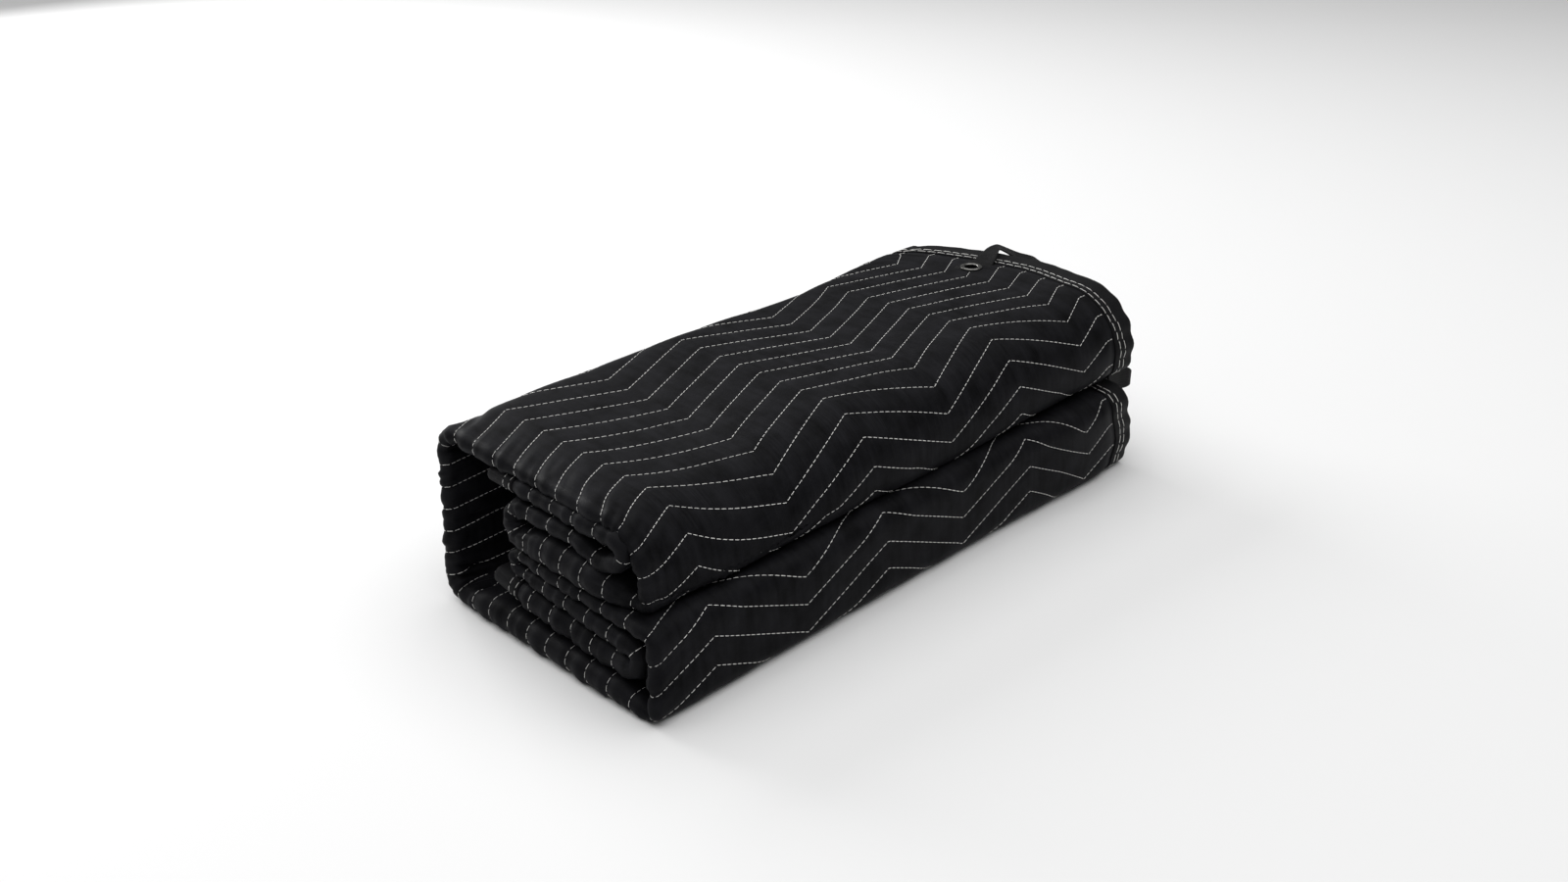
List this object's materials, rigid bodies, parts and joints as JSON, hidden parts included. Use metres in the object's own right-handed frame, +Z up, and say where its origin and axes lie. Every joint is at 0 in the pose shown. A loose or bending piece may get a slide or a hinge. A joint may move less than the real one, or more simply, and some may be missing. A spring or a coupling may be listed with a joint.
{
  "type": "folded quilted blanket",
  "caption": "Dark quilted light blocking blanket with zigzag stitching, folded into a closed pack, with bound edges, webbing loops and a metal eyelet.",
  "frame": {"origin": "centre of the pack's box, at the height of the surface it rests on", "axes": "+Z up, +Y along the folds from the round front folds to the bound ends, +X from the closed spine to the long side walls"},
  "size_m": [0.289, 0.6859, 0.1776],
  "materials": {
    "brushed_black_cloth": "brushed woven polyester",
    "black_binding_tape": "woven tape",
    "black_webbing": "woven webbing",
    "nickel_plated_steel": "nickel plated"
  },
  "bodies": {
    "root": {"quilted_blanket": "brushed_black_cloth", "end_binding_outer": "black_binding_tape", "end_binding_inner": "black_binding_tape", "side_binding_upper": "black_binding_tape", "side_binding_lower": "black_binding_tape", "tab_strap_top": "black_webbing", "tab_strap_side": "black_webbing", "eyelet_top": "nickel_plated_steel"}
  },
  "joints": []
}
